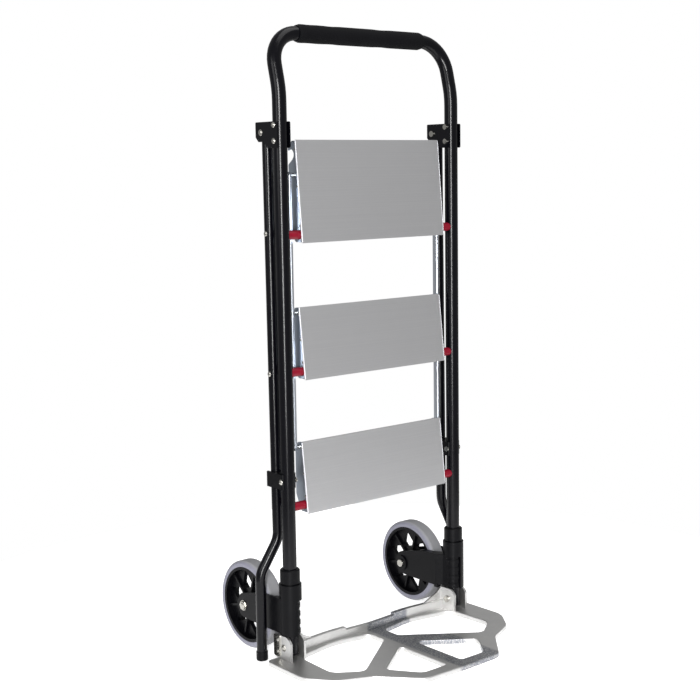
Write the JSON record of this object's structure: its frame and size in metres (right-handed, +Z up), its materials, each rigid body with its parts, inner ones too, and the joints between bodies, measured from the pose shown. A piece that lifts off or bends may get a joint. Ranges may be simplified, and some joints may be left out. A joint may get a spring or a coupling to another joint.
{
  "type": "folding hand truck step ladder",
  "caption": "Folding two-wheel hand truck that opens into a step ladder: tube frame, hinged treads and rear legs, and a toe plate whose fold swings the wheels in.",
  "frame": {"origin": "on the ground under the toe plate's middle web, midway between the axes of the two front tubes", "axes": "+X to the right, +Y to the back where the wheels are, +Z up along the front tubes; the toe plate reaches towards -Y"},
  "size_m": [0.4994, 0.437, 1.1323],
  "materials": {
    "black_enamel": "gloss",
    "foam": "matt foam",
    "bright_steel": "bright",
    "black_plastic": "satin moulded",
    "red_plastic": "moulded",
    "nylon": "matt",
    "grey_rubber": "matt",
    "cast_aluminium": "cast, satin",
    "link_aluminium": "satin",
    "tread_aluminium": "satin anodised, fine lines",
    "end_plate_aluminium": "dull pressed"
  },
  "bodies": {
    "front_frame": {"front_tube": "black_enamel", "foam_grip": "foam", "tube_plugs": "black_plastic", "top_bracket_left": "black_enamel", "top_bracket_right": "black_enamel", "bracket_rivets": "bright_steel", "leg_pivot_pins": "bright_steel", "leg_clip_left": "black_plastic", "leg_clip_right": "black_plastic", "clip_rivets": "bright_steel", "step_bushes": "red_plastic", "step_pivot_pins": "bright_steel", "stop_collar_left": "black_plastic", "stop_collar_right": "black_plastic", "hinge_bolts": "bright_steel"},
    "rear_frame": {"rear_leg_left": "black_enamel", "rear_leg_right": "black_enamel", "upper_crossbar": "black_enamel", "lower_crossbar": "black_enamel", "crossbar_rivets": "bright_steel", "rear_foot_cap_left": "black_plastic", "rear_foot_cap_right": "black_plastic"},
    "top_step": {"top_tread": "tread_aluminium", "top_end_plate_left": "end_plate_aluminium", "top_end_plate_right": "end_plate_aluminium", "top_step_rivets": "bright_steel", "top_link_pins": "bright_steel"},
    "mid_step": {"mid_tread": "tread_aluminium", "mid_end_plate_left": "end_plate_aluminium", "mid_end_plate_right": "end_plate_aluminium", "mid_step_rivets": "bright_steel", "mid_link_pins": "bright_steel"},
    "low_step": {"low_tread": "tread_aluminium", "low_end_plate_left": "end_plate_aluminium", "low_end_plate_right": "end_plate_aluminium", "low_step_rivets": "bright_steel", "low_link_pins": "bright_steel"},
    "link_left": {"link_bar_left": "link_aluminium"},
    "link_right": {"link_bar_right": "link_aluminium"},
    "toe_plate": {"toe_plate": "cast_aluminium", "hinge_lug_left": "cast_aluminium", "hinge_lug_right": "cast_aluminium", "cam_plates": "bright_steel", "lug_rivets": "bright_steel"},
    "bracket_left": {"wheel_bracket_left": "black_plastic", "axle_bolt_left": "bright_steel", "axle_nut_left": "bright_steel"},
    "wheel_left": {"hub_left": "black_plastic", "hub_bush_left": "nylon", "tyre_left": "grey_rubber"},
    "bracket_right": {"wheel_bracket_right": "black_plastic", "axle_bolt_right": "bright_steel", "axle_nut_right": "bright_steel"},
    "wheel_right": {"hub_right": "black_plastic", "hub_bush_right": "nylon", "tyre_right": "grey_rubber"}
  },
  "joints": [
    {"name": "rear_frame_swing", "type": "hinge", "parent": "front_frame", "child": "rear_frame", "pos_m": [0, 0.037, 0.946], "axis": [1, 0, 0], "range_deg": [0, 34.94]},
    {"name": "top_step_fold", "type": "hinge", "parent": "front_frame", "child": "top_step", "pos_m": [0, 0, 0.7693], "axis": [-1, 0, 0], "range_deg": [0, 68.1]},
    {"name": "mid_step_fold", "type": "hinge", "parent": "front_frame", "child": "mid_step", "pos_m": [0, 0, 0.5279], "axis": [-1, 0, 0], "range_deg": [0, 68.1]},
    {"name": "low_step_fold", "type": "hinge", "parent": "front_frame", "child": "low_step", "pos_m": [0, 0, 0.2859], "axis": [-1, 0, 0], "range_deg": [0, 68.1]},
    {"name": "link_left_swing", "type": "hinge", "parent": "top_step", "child": "link_left", "pos_m": [-0.17575, 0.0155, 0.8723], "axis": [-1, 0, 0], "range_deg": [-68.1, 0]},
    {"name": "link_right_swing", "type": "hinge", "parent": "top_step", "child": "link_right", "pos_m": [0.17575, 0.0155, 0.8723], "axis": [-1, 0, 0], "range_deg": [-68.1, 0]},
    {"name": "toe_plate_fold", "type": "hinge", "parent": "front_frame", "child": "toe_plate", "pos_m": [0, 0, 0.031], "axis": [-1, 0, 0], "range_deg": [0, 90]},
    {"name": "bracket_left_swing", "type": "hinge", "parent": "front_frame", "child": "bracket_left", "pos_m": [-0.2035, 0, 0.1], "axis": [0, 0, -1], "range_deg": [0, 78.1]},
    {"name": "bracket_right_swing", "type": "hinge", "parent": "front_frame", "child": "bracket_right", "pos_m": [0.2035, 0, 0.1], "axis": [0, 0, 1], "range_deg": [0, 78.1]},
    {"name": "wheel_left_spin", "type": "hinge", "parent": "bracket_left", "child": "wheel_left", "pos_m": [-0.203, 0.118, 0.082], "axis": [1, 0, 0], "continuous": true},
    {"name": "wheel_right_spin", "type": "hinge", "parent": "bracket_right", "child": "wheel_right", "pos_m": [0.203, 0.118, 0.082], "axis": [1, 0, 0], "continuous": true}
  ],
  "couplings": [
    {"joint": "top_step_fold", "follows": "rear_frame_swing", "ratio": 1.9459},
    {"joint": "mid_step_fold", "follows": "rear_frame_swing", "ratio": 1.9459},
    {"joint": "low_step_fold", "follows": "rear_frame_swing", "ratio": 1.9459},
    {"joint": "link_left_swing", "follows": "rear_frame_swing", "ratio": -1.9459},
    {"joint": "link_right_swing", "follows": "rear_frame_swing", "ratio": -1.9459},
    {"joint": "bracket_left_swing", "follows": "toe_plate_fold", "ratio": 0.86667},
    {"joint": "bracket_right_swing", "follows": "toe_plate_fold", "ratio": 0.86667}
  ]
}
